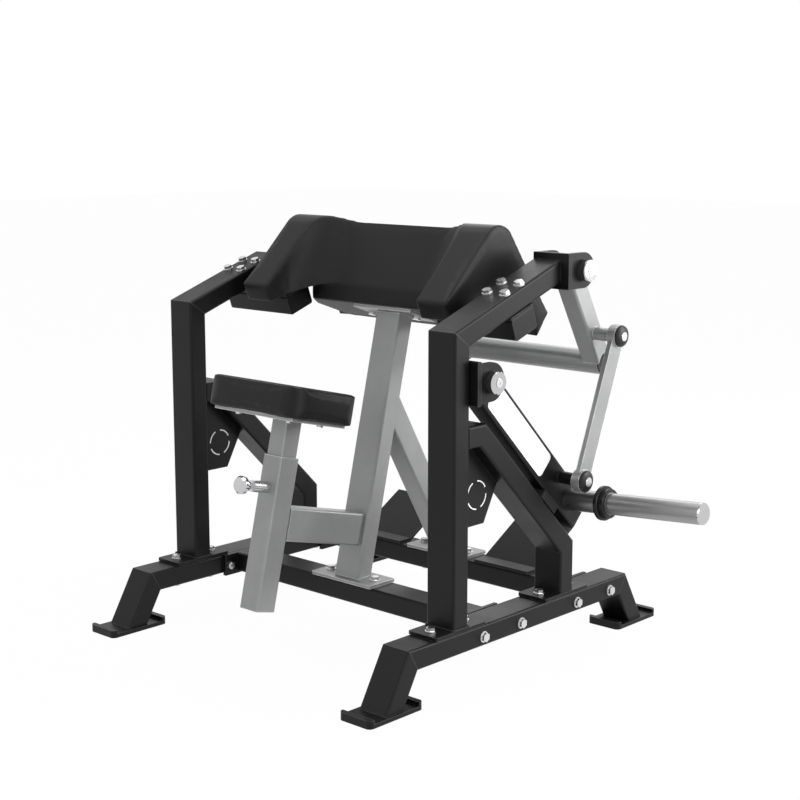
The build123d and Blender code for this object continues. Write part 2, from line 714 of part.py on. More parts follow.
def pad_stub(side):
    """Tube from under the upper beam to under a lobe of the pad, with a cover on each end."""
    near, far = STUB_INNER, FRAME_HALF_WIDTH
    frame = stub_frame(side)
    start = frame.from_local_coords(
        Vector((near if side > 0 else -far) - side * SIDE_X, 0, -PLATE_THICK - TUBE_DEPTH / 2)
    )
    plane = Plane(origin=start, x_dir=frame.y_dir, z_dir=ACROSS)
    cover = RectangleRounded(TUBE_WIDTH, TUBE_DEPTH, TUBE_RADIUS)
    length = far - near
    return [
        box_tube(plane.offset(END_COVER), length - 2 * END_COVER, TUBE_WIDTH, TUBE_DEPTH),
        extrude(plane * cover, END_COVER),
        extrude(plane.offset(length - END_COVER) * cover, END_COVER),
    ]


def beam_cover(beam):
    """Plug plate inside the open end of an upper beam."""
    end = beam.faces().sort_by(Axis.Y)[-1].center()
    plane = Plane(origin=end, x_dir=ACROSS, z_dir=heading(BEAM_RISE))
    width, depth = TUBE_WIDTH - 2 * TUBE_WALL, TUBE_DEPTH - 2 * TUBE_WALL
    inside = RectangleRounded(width, depth, TUBE_RADIUS - TUBE_WALL)
    bar = extrude(plane.offset(-TUBE_DEPTH) * inside, 2 * TUBE_DEPTH)
    slab = keep_side(bar, end, BACK, end - Vector(0, TUBE_DEPTH / 2, 0))
    return keep_side(slab, end - Vector(0, END_COVER, 0), BACK, end)


def stub_plates(side):
    """One plate under the beam and one under the lobe, both on top of the stub."""
    frame = stub_frame(side)
    inner = (STUB_INNER + PAD_HALF_WIDTH) / 2
    inner_width = PAD_HALF_WIDTH - STUB_INNER - 2 * SIDE_GAP
    outer_block = Box(TUBE_WIDTH, TUBE_WIDTH, PLATE_THICK, align=(Align.CENTER, Align.CENTER, Align.MAX))
    inner_block = Box(inner_width, TUBE_WIDTH, PLATE_THICK, align=(Align.CENTER, Align.CENTER, Align.MAX))
    outer = frame.location * outer_block
    return [outer, frame.location * Pos(side * (inner - SIDE_X), 0, 0) * inner_block]


# Pivot brackets
def clevis(pivot, plate_back, height, cheek_radius):
    """Upright plate with two round-ended cheeks that hold a pivot pin."""
    x_low = CHEEK_CENTER - BRACKET_WIDTH / 2
    plate_low = plate_back - BRACKET_PLATE
    z_low, z_high = pivot[1] - height / 2, pivot[1] + height / 2
    corners = [(plate_low, z_low), (plate_back, z_low), (plate_back, z_high), (plate_low, z_high)]
    pieces = [side_slab(corners, x_low, x_low + BRACKET_WIDTH)]
    web = [
        (plate_back, pivot[1] - cheek_radius),
        (pivot[0], pivot[1] - cheek_radius),
        (pivot[0], pivot[1] + cheek_radius),
        (plate_back, pivot[1] + cheek_radius),
    ]
    for x in (CHEEK_CENTER - CHEEK_GAP / 2 - CHEEK_THICK, CHEEK_CENTER + CHEEK_GAP / 2):
        cheek = side_slab(web, x, x + CHEEK_THICK)
        cheek += across_disc(x, x + CHEEK_THICK, pivot, cheek_radius)
        pieces.append(cheek - across_disc(x - 1, x + CHEEK_THICK + 1, pivot, PIVOT_RADIUS))
    return pieces


def pivot_faces():
    """Planes on the outer faces of the cheeks at both pivots, their normals outwards."""
    half = CHEEK_GAP / 2 + CHEEK_THICK
    return [
        Plane(origin=(CHEEK_CENTER + side * half, pivot[0], pivot[1]), z_dir=(side, 0, 0))
        for pivot in (ARM_PIVOT, LEVER_PIVOT)
        for side in (-1, 1)
    ]


def pivot_pin(pivot):
    half = CHEEK_GAP / 2 + CHEEK_THICK
    return across_disc(CHEEK_CENTER - half, CHEEK_CENTER + half, pivot, PIVOT_RADIUS)


def pivot_cap(face):
    """Flat cap with a stepped base and a rounded rim."""
    rim, crown = CAP_RADIUS, CAP_THICK
    base = [(0, 0), (rim * 0.8, 0), (rim * 0.8, crown * 0.4), (rim, crown * 0.4)]
    outline = [*base, (rim, crown * 0.88), (rim * 0.93, crown), (0, crown)]
    return turned(face, outline)


def pivot_screw(face):
    """Flat socket head that closes a pivot cap."""
    head = disc(face.offset(CAP_THICK), SCREW_RADIUS, SCREW_PROUD)
    return head - hexagon(face.offset(CAP_THICK + SCREW_PROUD / 2), SCREW_SOCKET, SCREW_PROUD)


def hub(pivot, radius):
    half = CHEEK_GAP / 2 - SIDE_GAP
    return across_disc(CHEEK_CENTER - half, CHEEK_CENTER + half, pivot, radius)


def hub_bore(pivot):
    radius = PIVOT_RADIUS + PIVOT_CLEARANCE
    return across_disc(CHEEK_CENTER - CHEEK_GAP, CHEEK_CENTER + CHEEK_GAP, pivot, radius)


def along(pivot, drop, reach, lift=0.0):
    """A side-view point on an arm that falls at the angle drop from its pivot."""
    point = side_point(pivot) + heading(-drop) * reach + heading(90 - drop) * lift
    return (point.Y, point.Z)


ARM_FACE = ARM_CENTER + ARM_TUBE / 2
BOSS_FACE = LINK_FACE - BOSS_GAP
ARM_LINK = along(ARM_PIVOT, ARM_DROP, ARM_LINK_REACH)
LEVER_LINK = along(LEVER_PIVOT, LEVER_DROP, LEVER_LINK_REACH, LEVER_LINK_LIFT)
HANDLE = along(ARM_PIVOT, ARM_DROP, HANDLE_REACH)
LEVER_WAY = heading(-LEVER_DROP)
LEVER_UP = heading(90 - LEVER_DROP)


def arm_tube():
    """Square tube from the upper pivot, coped over the handle, with the link's boss on its outer face."""
    way = heading(-ARM_DROP)
    plane = Plane(origin=side_point(ARM_PIVOT, ARM_CENTER), x_dir=ACROSS, z_dir=way)
    tube = box_tube(plane, HANDLE_REACH - HANDLE_RADIUS / 2, ARM_TUBE, ARM_TUBE)
    tube -= across_disc(0, 2 * ARM_CENTER, HANDLE, HANDLE_RADIUS)
    tube = tube - hub(ARM_PIVOT, ARM_HUB_RADIUS) + hub(ARM_PIVOT, ARM_HUB_RADIUS)
    tube += across_disc(ARM_FACE - TUBE_WALL, BOSS_FACE, ARM_LINK, ARM_BOSS_RADIUS)
    return tube - hub_bore(ARM_PIVOT)


def handle_frame():
    """At the handle's seam, normal towards the sitter's left along the bent section."""
    turn = rad(HANDLE_BEND)
    return Plane(
        origin=side_point(HANDLE, HANDLE_SEAM), x_dir=UP, z_dir=(-math.cos(turn), -math.sin(turn), 0)
    )


def handle_tubes():
    """Straight handle tube and the bent section behind the centre post, mitred together."""
    ring = Circle(HANDLE_RADIUS) - Circle(HANDLE_RADIUS - TUBE_WALL)
    seam = side_point(HANDLE, HANDLE_SEAM)
    straight_plane = Plane(origin=side_point(HANDLE, HANDLE_OUTER), z_dir=(-1, 0, 0))
    straight = extrude(straight_plane * ring, HANDLE_OUTER - HANDLE_SEAM + HANDLE_RADIUS)
    bent_plane = handle_frame()
    bent_length = (HANDLE_SEAM - HANDLE_END) / math.cos(rad(HANDLE_BEND))
    bent = extrude(bent_plane.offset(-HANDLE_RADIUS) * ring, bent_length + HANDLE_RADIUS)
    normal = bent_plane.z_dir + Vector(-1, 0, 0)
    straight = keep_side(straight, seam, normal, straight_plane.origin)
    return [straight, keep_side(bent, seam, normal, bent_plane.offset(bent_length).origin)]


def handle_plugs():
    """End plugs pressed into both ends of the handle."""
    bent_length = (HANDLE_SEAM - HANDLE_END) / math.cos(rad(HANDLE_BEND))
    far = handle_frame().offset(bent_length)
    near = Plane(origin=side_point(HANDLE, HANDLE_OUTER), z_dir=ACROSS)
    plugs = []
    for end in (near, far):
        head = disc(end, HANDLE_RADIUS, TUBE_WALL)
        plugs.append(head + disc(end, HANDLE_RADIUS - TUBE_WALL, -HANDLE_RADIUS))
    return plugs


def handle_grip():
    """Rubber sleeve over the bent section, short of its end."""
    bent_length = (HANDLE_SEAM - HANDLE_END) / math.cos(rad(HANDLE_BEND))
    plane = handle_frame().offset(bent_length - GRIP_INSET - GRIP_LENGTH)
    return extrude(plane * (Circle(GRIP_RADIUS) - Circle(HANDLE_RADIUS)), GRIP_LENGTH)


def lever_tube():
    """Deep box tube from the lower pivot, with the link's boss near its low end."""
    plane = Plane(origin=side_point(LEVER_PIVOT, ARM_CENTER), x_dir=ACROSS, z_dir=LEVER_WAY)
    start = LEVER_HUB_RADIUS / 2
    tube = box_tube(plane.offset(start), LEVER_LENGTH - start, ARM_TUBE, LEVER_DEPTH)
    tube = tube - hub(LEVER_PIVOT, LEVER_HUB_RADIUS) + hub(LEVER_PIVOT, LEVER_HUB_RADIUS)
    tube += across_disc(ARM_FACE - TUBE_WALL, BOSS_FACE, LEVER_LINK, LEVER_BOSS_RADIUS)
    bore = across_disc(ARM_FACE - TUBE_WALL - 1, BOSS_FACE + 1, LEVER_LINK, LINK_PIN_RADIUS)
    return tube - hub_bore(LEVER_PIVOT) - bore


def lever_cap():
    end = side_point(LEVER_PIVOT, ARM_CENTER) + LEVER_WAY * LEVER_LENGTH
    plane = Plane(origin=end, x_dir=ACROSS, z_dir=LEVER_WAY)
    cap = extrude(plane * RectangleRounded(ARM_TUBE, LEVER_DEPTH, TUBE_RADIUS), LEVER_CAP_THICK)
    return chamfer(cap.faces().sort_by(Axis(plane.origin, plane.z_dir))[-1].edges(), LEVER_CAP_THICK / 2)


def link_pin():
    """Pin that the lever carries through the link's lower eye."""
    low = ARM_FACE - TUBE_WALL
    return across_disc(low, LINK_FACE + LINK_EYE_THICK - SIDE_GAP, LEVER_LINK, LINK_PIN_RADIUS)


def link_bar():
    low, high = side_point(LEVER_LINK), side_point(ARM_LINK)
    way = (high - low).normalized()
    middle = LINK_FACE + LINK_EYE_THICK / 2
    plane = Plane(origin=low + Vector(middle, 0, 0), x_dir=ACROSS, z_dir=way)
    bar = extrude(plane * Rectangle(LINK_BAR[1], LINK_BAR[0]), (high - low).length)
    for pair in (LEVER_LINK, ARM_LINK):
        bar += across_disc(LINK_FACE, LINK_FACE + LINK_EYE_THICK, pair, LINK_EYE_RADIUS)
    bore = LINK_PIN_RADIUS + PIVOT_CLEARANCE
    return bar - across_disc(LINK_FACE - 1, LINK_FACE + LINK_EYE_THICK + 1, LEVER_LINK, bore)


def link_cap_plane(pair):
    return Plane(origin=side_point(pair, LINK_FACE + LINK_EYE_THICK), z_dir=ACROSS)


def link_cap(pair):
    rim, crown = CAP_RADIUS, LINK_CAP_THICK
    outline = [
        (LINK_PIN_RADIUS, 0),
        (rim, 0),
        (rim, crown * 0.3),
        (rim * 0.92, crown * 0.62),
        (rim * 0.72, crown * 0.9),
        (rim * 0.5, crown),
        (LINK_PIN_RADIUS, crown),
    ]
    return turned(link_cap_plane(pair), outline)


def link_bolt(pair):
    """Round-headed screw that closes a link cap."""
    top = LINK_CAP_THICK + LINK_BOLT_HEAD
    outline = [
        (0, 0),
        (LINK_PIN_RADIUS, 0),
        (LINK_PIN_RADIUS, LINK_CAP_THICK),
        (LINK_BOLT_RADIUS, LINK_CAP_THICK),
        (LINK_BOLT_RADIUS, top - 1),
        (LINK_BOLT_RADIUS - 1, top),
        (0, top),
    ]
    return turned(link_cap_plane(pair), outline)


HORN_ROOT = side_point(along(LEVER_PIVOT, LEVER_DROP, HORN_REACH), ARM_FACE)
HORN_PLANE = Plane(
    origin=HORN_ROOT, x_dir=BACK, z_dir=(math.cos(rad(HORN_TILT)), 0, math.sin(rad(HORN_TILT)))
)


def horn_tube():
    """Chrome tube, a little thicker from the lever to the collar's front face."""
    bore = Circle(HORN_RADIUS - HORN_WALL)
    shoulder = COLLAR_START + sum(length for _, length in COLLAR_STEPS)
    root = Circle(HORN_ROOT_RADIUS) - bore
    root = extrude(HORN_PLANE.offset(-HORN_RADIUS) * root, shoulder + HORN_RADIUS)
    root = keep_side(root, HORN_ROOT, ACROSS, HORN_ROOT + Vector(HORN_LENGTH, 0, 0))
    return root + extrude(HORN_PLANE.offset(shoulder) * (Circle(HORN_RADIUS) - bore), HORN_LENGTH - shoulder)


def horn_cap():
    bore = HORN_RADIUS - HORN_WALL
    top = HORN_CAP_THICK
    outline = [
        (0, -bore),
        (bore, -bore),
        (bore, 0),
        (HORN_RADIUS, 0),
        (HORN_RADIUS, top / 2),
        (HORN_RADIUS - top / 2, top),
        (0, top),
    ]
    return turned(HORN_PLANE.offset(HORN_LENGTH), outline)


def horn_collar():
    """Two-step stop that keeps plates off the lever."""
    (large, large_length), (small, small_length) = COLLAR_STEPS
    first, last = large_length, large_length + small_length
    outline = [
        (HORN_ROOT_RADIUS, 0),
        (large - 2, 0),
        (large, 2),
        (large, first - 2),
        (large - 2, first),
        (small, first),
        (small, last - 2),
        (small - 2, last),
        (HORN_ROOT_RADIUS, last),
    ]
    return turned(HORN_PLANE.offset(COLLAR_START), outline)


def bumper():
    """Rubber block on the sloping brace, just short of the lever's underside."""
    lever_low = along(LEVER_PIVOT, LEVER_DROP, BUMPER_REACH, -LEVER_DEPTH / 2)
    brace_top = BRACE_CENTER + BRACE_KNEE + TUBE_DEPTH / math.sqrt(2)
    gap = (lever_low[0] + lever_low[1] - brace_top) / math.sqrt(2)
    thick = gap - BUMPER_GAP
    center = side_point(lever_low, ARM_CENTER) - LEVER_UP * (BUMPER_GAP + thick / 2)
    plane = Plane(origin=center - LEVER_UP * thick / 2, x_dir=ACROSS, z_dir=LEVER_UP)
    return extrude(plane * RectangleRounded(*BUMPER_SIZE, 5), thick)


def lever_label():
    """Blank name strip on the lever's outer face."""
    center = along(LEVER_PIVOT, LEVER_DROP, LABEL_START + LABEL_SIZE[0] / 2)
    plane = Plane(origin=side_point(center, ARM_FACE), x_dir=LEVER_WAY, z_dir=ACROSS)
    return extrude(plane * RectangleRounded(*LABEL_SIZE, LABEL_RADIUS), LABEL_THICK)


def main():
    os.makedirs("parts", exist_ok=True)
    for name, side in SIDES.items():
        (front_leg, rail, rear_leg), (post, beam), brace = side_frame(side)
        rail = drilled(drilled(rail, BASE_SEATS, BASE_GRIP), BEAM_SEATS, BEAM_GRIP)
        export(f"rail_{name}", [rail])
        export(f"legs_{name}", [front_leg, rear_leg])
        export(f"post_{name}", [post])
        export(f"upper_beam_{name}", [drilled(beam, STUB_SEATS, STUB_GRIP), beam_cover(beam)])
        export(f"brace_{name}", brace)
        export(f"footrest_{name}", [footrest(side)])
    export("foot_plates", [foot(side, end) for side in SIDES.values() for end in (-1, 1)])
    plate_places = [(side * SIDE_X, center, RAIL_TOP) for side in SIDES.values() for center in BASE_CENTERS]
    base_plates = [plate(place, BASE_PLATE) for place in plate_places]
    export("base_plates", [drilled(piece, BASE_SEATS, BASE_GRIP) for piece in base_plates])
    export("gussets", [gusset(side) for side in SIDES.values()])
    export("beam_front", [drilled(cross_beam(FRONT_BEAM), CENTER_SEATS, BASE_GRIP)])
    export("beam_rear", [drilled(cross_beam(REAR_BEAM), CENTER_SEATS, BASE_GRIP)])
    end_plates = [end_plate(side, center) for side in SIDES.values() for center in (FRONT_BEAM, REAR_BEAM)]
    export("beam_end_plates", [drilled(piece, BEAM_SEATS, BEAM_GRIP) for piece in end_plates])
    center_plates = [plate((0, y, RAIL_TOP), CENTER_PLATE) for y in (FRONT_BEAM, REAR_BEAM)]
    export("center_plates", [drilled(piece, CENTER_SEATS, BASE_GRIP) for piece in center_plates])
    export("center_post", [center_post()])
    export("center_flange", [drilled(flange(), FLANGE_SEATS, FLANGE_BOLT_DEPTH)])
    export("diagonal_support", [diagonal()])

    upright_seats = BASE_SEATS + CENTER_SEATS
    export("base_bolts", [bolt(seat, BASE_GRIP + NUT_HEIGHT + BOLT_TIP) for seat in upright_seats])
    export("beam_bolts", [bolt(seat, BEAM_GRIP + NUT_HEIGHT + BOLT_TIP) for seat in BEAM_SEATS])
    export("stub_bolts", [bolt(seat, STUB_GRIP) for seat in STUB_SEATS])
    export("flange_bolts", [flange_bolt(seat) for seat in FLANGE_SEATS])
    export("washers", [washer(seat) for seat in upright_seats + BEAM_SEATS + STUB_SEATS])
    nuts = [nut(seat, BASE_GRIP) for seat in upright_seats] + [nut(seat, BEAM_GRIP) for seat in BEAM_SEATS]
    export("nuts", nuts)

    export("seat_sleeve", [seat_sleeve()])
    export("seat_link_tube", [seat_link_tube()])
    export("seat_tube", [seat_tube()])
    seat_top = SEAT_TUBE_EXPOSED + PLATE_THICK
    under_seat = extrude(seat_plate_plane(SEAT_TUBE_EXPOSED) * RectangleRounded(*SEAT_PLATE, 8), PLATE_THICK)
    export("seat_plate", [drilled(under_seat, seat_seats(), PLATE_THICK, SMALL_BOLT_RADIUS)])
    cushion = RectangleRounded(SEAT_PAD[0], SEAT_PAD[1], SEAT_PAD_RADIUS)
    export("seat_pad", [extrude(seat_plate_plane(seat_top) * cushion, SEAT_PAD[2])])
    export("seat_bolts", [seat_bolt(seat) for seat in seat_seats()])
    export("pin_barrel", [pin_barrel()])
    export("pin_knob", [pin_knob()])

    export("preacher_pad", [preacher_pad()])
    export("pad_board", [drilled(board(), FLANGE_SEATS, FLANGE_BOLT_DEPTH, BOLT_RADIUS)])
    export("pad_stubs", pad_stub(-1) + pad_stub(1))
    plates = [drilled(piece, STUB_SEATS, STUB_GRIP) for side in SIDES.values() for piece in stub_plates(side)]
    export("stub_plates", plates)

    export("arm_bracket", clevis(ARM_PIVOT, BEAM_REACH + BRACKET_PLATE, 2 * ARM_CHEEK_RADIUS, ARM_CHEEK_RADIUS))
    lever_plate = TUBE_DEPTH + BRACKET_PLATE
    export("lever_bracket", clevis(LEVER_PIVOT, lever_plate, LEVER_PLATE_HEIGHT, LEVER_CHEEK_RADIUS))
    export("pivot_pins", [pivot_pin(ARM_PIVOT), pivot_pin(LEVER_PIVOT)])
    export("pivot_caps", [pivot_cap(face) for face in pivot_faces()])
    export("pivot_screws", [pivot_screw(face) for face in pivot_faces()])
    export("bumper", [bumper()])

    export("arm_tube", [arm_tube()])
    export("handle_tubes", handle_tubes())
    export("handle_plugs", handle_plugs())
    export("handle_grip", [handle_grip()])
    export("lever_tube", [lever_tube()])
    export("lever_cap", [lever_cap()])
    export("link_pin", [link_pin()])
    export("lever_label", [lever_label()])
    export("horn_tube", [horn_tube()])
    export("horn_cap", [horn_cap()])
    export("horn_collar", [horn_collar()])
    export("link_bar", [link_bar()])
    export("link_caps", [link_cap(pair) for pair in (LEVER_LINK, ARM_LINK)])
    export("link_bolts", [link_bolt(pair) for pair in (LEVER_LINK, ARM_LINK)])


main()
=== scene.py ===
import json
import math

import bmesh
import bpy
from mathutils import Matrix, Vector


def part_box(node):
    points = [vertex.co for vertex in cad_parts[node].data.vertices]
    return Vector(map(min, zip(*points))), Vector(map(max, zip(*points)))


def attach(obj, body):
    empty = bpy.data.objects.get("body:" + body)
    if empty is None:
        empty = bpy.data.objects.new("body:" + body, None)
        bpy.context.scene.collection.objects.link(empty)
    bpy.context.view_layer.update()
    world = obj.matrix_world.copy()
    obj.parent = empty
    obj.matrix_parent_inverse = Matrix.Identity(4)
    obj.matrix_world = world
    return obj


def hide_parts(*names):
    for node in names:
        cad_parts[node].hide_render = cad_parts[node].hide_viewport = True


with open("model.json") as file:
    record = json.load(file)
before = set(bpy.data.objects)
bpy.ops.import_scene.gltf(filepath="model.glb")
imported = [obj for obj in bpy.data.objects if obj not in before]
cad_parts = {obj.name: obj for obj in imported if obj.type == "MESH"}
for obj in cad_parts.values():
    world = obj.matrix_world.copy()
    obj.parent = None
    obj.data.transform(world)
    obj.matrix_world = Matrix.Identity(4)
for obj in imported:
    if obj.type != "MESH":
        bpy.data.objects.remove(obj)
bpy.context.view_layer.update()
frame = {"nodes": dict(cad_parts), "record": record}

NODES = frame["nodes"]

# Camera: place in metres, tilt and turn in degrees, lens and sensor in millimetres
CAMERA_PLACE = (2.6236, -2.76115, 1.2429)
CAMERA_TILT = 80.011
CAMERA_TURN = 42.681
CAMERA_LENS = 70.58
CAMERA_SENSOR = 36.0

# World and floor: strength of the air's light, and the paper under the machine
AIR_LIGHT = 0.42
FLOOR_SIZE = 40
FLOOR_DROP = 0.0005
FLOOR_GLOW = 0.975
PAPER_TONE = 0.9
PAPER_ROUGHNESS = 0.9

# Softboxes: name, place, width and height in metres, and power in watts. All aim at one point.
LAMP_AIM = (0, 0, 0.5)
SOFTBOXES = (
    ("key_softbox", (3.2, 2.6, 1.7), (2.4, 2.4), 120),
    ("side_softbox", (3.8, -0.8, 1.8), (1.6, 1.6), 40),
    ("front_softbox", (-1.6, -3.6, 2.4), (2.0, 2.0), 8),
    ("rim_softbox", (-1.6, 3.2, 2.8), (2.4, 1.4), 26),
    ("top_softbox", (0, 0, 3.6), (2.4, 2.4), 45),
)

# Gusset print: centre from the gussets' low corner, the web's thickness, ring radius, line width and film,
# then how many arcs, and each one's sweep, first angle and steps
GUSSET_RING_PLACE = (0.068, 0.069)
GUSSET_THICK = 0.008
RING_RADIUS = 0.032
RING_LINE = 0.003
RING_FILM = 0.0004
RING_ARCS = 4
ARC_SWEEP = 62
ARC_START = 28
ARC_STEPS = 16

# Cushions: voxel, most a point may move, and fill from slack 0 to tight 1. Then inset, pressure and frames
PAD_VOXEL = 0.0050
PAD_SWELL = 0.0014
SEAT_VOXEL = 0.0042
SEAT_SWELL = 0.0022
CUSHION_INSET = 0.0006
CUSHION_PRESSURE = 4.0
CUSHION_FRAMES = 20

# Smoothing of a cushion: share of each pass, passes that round the edges, passes after the simulation
SMOOTH_SHARE = 0.5
EDGE_ROUNDING = 5
COVER_SMOOTHING = 3

# Cushion cover as cloth
COVER_QUALITY = 4
COVER_MASS = 0.4
COVER_STRETCH = 30
COVER_SHEAR = 20
COVER_BENDING = 4

# Weld bead: radius, length of one ripple and its depth, sides, and height of its middle over the plate
BEAD_RADIUS = 0.0032
BEAD_PITCH = 0.0052
BEAD_RIPPLE = 0.16
BEAD_SIDES = 10
BEAD_RISE = 0.001

# Knob: width, steps and least angle of its rolled edges
KNOB_BEVEL = 0.0035
KNOB_BEVEL_STEPS = 4
KNOB_BEVEL_ANGLE = 20

# Points closer than this are one point, and points this near a line are on it
MERGE_DISTANCE = 0.00001
ON_LINE = 1e-6

# What a surface effect gives to a finish
SURFACE_OUTPUTS = ("Height", "Roughness", "Tone")


# ---------------------------------------------------------------- studio
def make_camera():
    bpy.ops.object.camera_add(
        location=CAMERA_PLACE, rotation=(math.radians(CAMERA_TILT), 0, math.radians(CAMERA_TURN))
    )
    camera = bpy.context.object
    camera.data.lens = CAMERA_LENS
    camera.data.sensor_width = CAMERA_SENSOR
    bpy.context.scene.camera = camera


def seen_directly(tree):
    """Light-path mask: camera, glossy and transmission rays together."""
    path = tree.nodes.new("ShaderNodeLightPath")
    mask = path.outputs["Is Camera Ray"]
    for label in ("Is Glossy Ray", "Is Transmission Ray"):
        both = tree.nodes.new("ShaderNodeMath")
        both.operation = "ADD"
        both.use_clamp = True
        tree.links.new(mask, both.inputs[0])
        tree.links.new(path.outputs[label], both.inputs[1])
        mask = both.outputs[0]
    return mask


def make_world():
    world = bpy.data.worlds.new("studio_air")
    bpy.context.scene.world = world
    world.use_nodes = True
    tree = world.node_tree
    air = tree.nodes["Background"]
    air.inputs["Color"].default_value = (1, 1, 1, 1)
    air.inputs["Strength"].default_value = AIR_LIGHT
    backdrop = tree.nodes.new("ShaderNodeBackground")
    backdrop.inputs["Color"].default_value = (1, 1, 1, 1)
    backdrop.inputs["Strength"].default_value = 1.0
    mix = tree.nodes.new("ShaderNodeMixShader")
    tree.links.new(seen_directly(tree), mix.inputs["Fac"])
    tree.links.new(air.outputs[0], mix.inputs[1])
    tree.links.new(backdrop.outputs[0], mix.inputs[2])
    tree.links.new(mix.outputs[0], tree.nodes["World Output"].inputs["Surface"])


def softbox(name, place, size, power):
    bpy.ops.object.light_add(type="AREA", location=place)
    lamp = bpy.context.object
    lamp.name = name
    lamp.data.shape = "RECTANGLE"
    lamp.data.size, lamp.data.size_y = size
    lamp.data.energy = power
    lamp.rotation_euler = (Vector(LAMP_AIM) - Vector(place)).to_track_quat("-Z", "Y").to_euler()


def make_lamps():
    for name, place, size, power in SOFTBOXES:
        softbox(name, place, size, power)


def make_floor():
    bpy.ops.mesh.primitive_plane_add(size=FLOOR_SIZE, location=(0, 0, -FLOOR_DROP))
    floor = bpy.context.object
    floor.name = "studio_floor"
    material = bpy.data.materials.new("studio_floor")
    material.use_nodes = True
    tree = material.node_tree
    paper = tree.nodes["Principled BSDF"]
    paper.inputs["Base Color"].default_value = (PAPER_TONE, PAPER_TONE, PAPER_TONE, 1)
    paper.inputs["Roughness"].default_value = PAPER_ROUGHNESS
    glow = tree.nodes.new("ShaderNodeEmission")
    glow.inputs["Strength"].default_value = 1.0
    share = tree.nodes.new("ShaderNodeMath")
    share.operation = "MULTIPLY"
    share.inputs[1].default_value = FLOOR_GLOW
    mix = tree.nodes.new("ShaderNodeMixShader")
    tree.links.new(seen_directly(tree), share.inputs[0])
    tree.links.new(share.outputs[0], mix.inputs["Fac"])
    tree.links.new(paper.outputs[0], mix.inputs[1])
    tree.links.new(glow.outputs[0], mix.inputs[2])
    tree.links.new(mix.outputs[0], tree.nodes["Material Output"].inputs["Surface"])
    floor.data.materials.append(material)


# ---------------------------------------------------------------- shared effects
class Effect:
    """A shader node group under construction. All its sockets are plain numbers."""

    def __init__(self, name, inputs, outputs):
        self.tree = bpy.data.node_groups.new(name, "ShaderNodeTree")
        for label, value in inputs.items():
            socket = self.tree.interface.new_socket(label, in_out="INPUT", socket_type="NodeSocketFloat")
            socket.default_value = value
        for label in outputs:
            self.tree.interface.new_socket(label, in_out="OUTPUT", socket_type="NodeSocketFloat")
        self.start = self.tree.nodes.new("NodeGroupInput")
        self.end = self.tree.nodes.new("NodeGroupOutput")
        self.place = self.tree.nodes.new("ShaderNodeTexCoord").outputs["Object"]

    def given(self, label):
        return self.start.outputs[label]

    def put(self, source, label):
        self.tree.links.new(source, self.end.inputs[label])

    def feed(self, socket, value):
        """A number becomes the socket's own value, and another node's output is linked to it."""
        if isinstance(value, (int, float)):
            socket.default_value = value
        else:
            self.tree.links.new(value, socket)

    def math(self, operation, first, second, clamp=False):
        node = self.tree.nodes.new("ShaderNodeMath")
        node.operation = operation
        node.use_clamp = clamp
        self.feed(node.inputs[0], first)
        self.feed(node.inputs[1], second)
        return node.outputs[0]

    def noise(self, scale, detail=3.0, roughness=0.5, stretch=None, distortion=0.0):
        node = self.tree.nodes.new("ShaderNodeTexNoise")
        node.inputs["Detail"].default_value = detail
        node.inputs["Roughness"].default_value = roughness
        node.inputs["Distortion"].default_value = distortion
        place = self.place
        if stretch:
            mapping = self.tree.nodes.new("ShaderNodeMapping")
            mapping.inputs["Scale"].default_value = stretch
            self.tree.links.new(place, mapping.inputs["Vector"])
            place = mapping.outputs[0]
        self.tree.links.new(place, node.inputs["Vector"])
        self.feed(node.inputs["Scale"], scale)
        return node.outputs[0]

    def cells(self, scale):
        node = self.tree.nodes.new("ShaderNodeTexVoronoi")
        self.tree.links.new(self.place, node.inputs["Vector"])
        self.feed(node.inputs["Scale"], scale)
        return node.outputs["Distance"]

    def span(self, value, low, high, out_low, out_high):
        node = self.tree.nodes.new("ShaderNodeMapRange")
        node.inputs["From Min"].default_value = low
        node.inputs["From Max"].default_value = high
        self.feed(node.inputs["To Min"], out_low)
        self.feed(node.inputs["To Max"], out_high)
        self.tree.links.new(value, node.inputs["Value"])
        return node.outputs[0]


def make_powder_coat():
    """Sprayed and baked paint: fine orange peel, uneven gloss and tone."""
    effect = Effect(
        "powder_coat",
        {"Peel Scale": 520.0, "Gloss Low": 0.36, "Gloss High": 0.5},
        SURFACE_OUTPUTS,
    )
    peel = effect.noise(effect.given("Peel Scale"), detail=2.0)
    speck = effect.noise(2600.0, detail=1.0)
    effect.put(effect.math("ADD", peel, effect.math("MULTIPLY", speck, 0.35)), "Height")
    cloud = effect.noise(9.0, detail=4.0, roughness=0.6)
    gloss = effect.span(cloud, 0.3, 0.7, effect.given("Gloss Low"), effect.given("Gloss High"))
    effect.put(gloss, "Roughness")
    tone = effect.math("ADD", effect.math("MULTIPLY", cloud, 0.7), effect.math("MULTIPLY", speck, 0.3))
    effect.put(effect.span(tone, 0.3, 0.7, 0.0, 1.0), "Tone")
    return effect.tree


